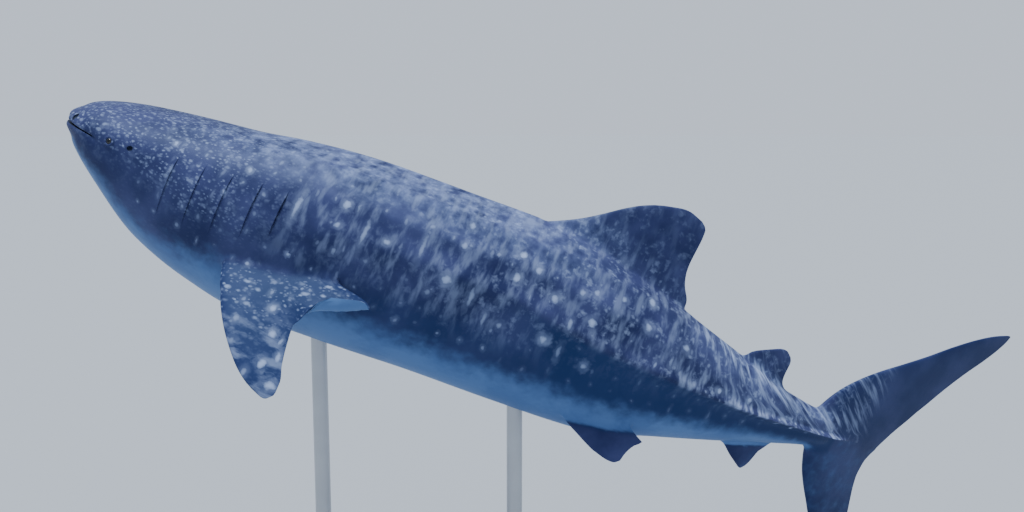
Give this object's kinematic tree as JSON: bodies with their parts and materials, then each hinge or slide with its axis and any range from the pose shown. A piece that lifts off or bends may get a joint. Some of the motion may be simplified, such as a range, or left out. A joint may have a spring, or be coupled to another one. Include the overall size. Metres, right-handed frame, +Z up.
{
  "type": "whale shark model on stand",
  "caption": "Life-size still model of a swimming whale shark, nose up and tail swept aside, held by rods on a flat display base.",
  "frame": {"origin": "centre of the underside of the stand's base, under the model's centre of mass", "axes": "+Z up, +X toward the tail, -X toward the head, -Y on the side of the left flank"},
  "size_m": [7.1063, 2.5119, 3.7999],
  "materials": {
    "skin": "satin",
    "eye": "gloss",
    "stand": "satin"
  },
  "bodies": {
    "root": {"head": "skin", "gill_region": "skin", "trunk_front": "skin", "trunk_middle": "skin", "trunk_rear": "skin", "tail_stock": "skin", "tail_peduncle": "skin", "first_dorsal_fin": "skin", "second_dorsal_fin": "skin", "anal_fin": "skin", "caudal_upper_lobe": "skin", "caudal_lower_lobe": "skin", "pectoral_fin_left": "skin", "pectoral_fin_right": "skin", "pelvic_fin_left": "skin", "pelvic_fin_right": "skin", "lower_jaw": "skin", "eye_left": "eye", "eye_right": "eye", "stand_base": "stand", "stand_rod_front": "stand", "stand_rod_rear": "stand"}
  },
  "joints": []
}
